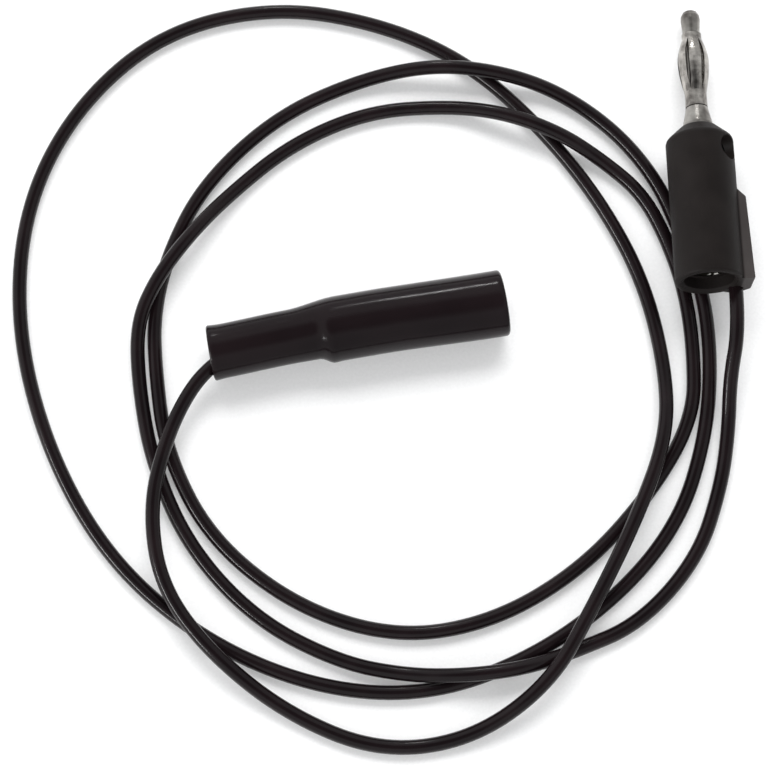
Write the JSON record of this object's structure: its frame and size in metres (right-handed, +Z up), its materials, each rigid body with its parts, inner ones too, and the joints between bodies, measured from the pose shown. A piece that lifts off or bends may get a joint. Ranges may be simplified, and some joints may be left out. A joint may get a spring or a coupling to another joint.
{
  "type": "esd ground lead",
  "caption": "Thin insulated ground lead with a stackable 4 mm banana plug at one end and a booted alligator clip at the other, its cord lying in loose loops.",
  "frame": {"origin": "under the middle of the plug and the booted clip together, on the surface that the lead lies on", "axes": "+Z up from the surface; +X from the clip's side to the plug's side; +Y the way the banana plug points"},
  "size_m": [0.1027, 0.1062, 0.0119],
  "materials": {
    "plug_plastic": "black moulded polyamide, satin",
    "nickel_plate": "bright nickel over turned brass",
    "screw_steel": "blackened steel",
    "cord_pvc": "black extruded PVC, semi-gloss",
    "boot_pvc": "black dip-moulded soft PVC, glossy",
    "clip_steel": "nickel-plated sheet steel",
    "spring_steel": "drawn spring wire",
    "copper_strands": "bare fine copper strands"
  },
  "bodies": {
    "root": {"plug_shell": "plug_plastic", "plug_core": "nickel_plate", "plug_cord_end": "cord_pvc", "plug_wire_strands": "copper_strands", "cord": "cord_pvc", "clip_boot": "boot_pvc"},
    "cage": {"lantern_spring": "nickel_plate"},
    "screw": {"set_screw": "screw_steel"},
    "clip": {"fixed_jaw": "clip_steel", "pivot_rivet": "clip_steel", "jaw_spring": "spring_steel", "clip_cord_end": "cord_pvc", "clip_wire_strands": "copper_strands"},
    "jaw": {"moving_jaw": "clip_steel"}
  },
  "joints": [
    {"name": "clip_slide", "type": "slide", "parent": "root", "child": "clip", "axis": [0.9845, 0.1754, 0], "range_m": [0, 0.014]},
    {"name": "jaw_hinge", "type": "hinge", "parent": "clip", "child": "jaw", "pos_m": [-0.012, -0.01893, 0.004], "axis": [0.1754, -0.9845, 0], "range_deg": [0, 16], "stiffness_Nm_per_rad": 0.012, "springref_deg": -34.38, "deforming": ["jaw_spring"]},
    {"name": "cage_spin", "type": "hinge", "parent": "root", "child": "cage", "pos_m": [0.03046, 0.0197, 0.00297], "axis": [-0.0225, 0.9916, -0.1271], "continuous": true},
    {"name": "set_screw_turn", "type": "hinge", "parent": "root", "child": "screw", "pos_m": [0.03269, 0.00495, 0.00635], "axis": [0.786, 0.0961, 0.6107], "continuous": true}
  ]
}
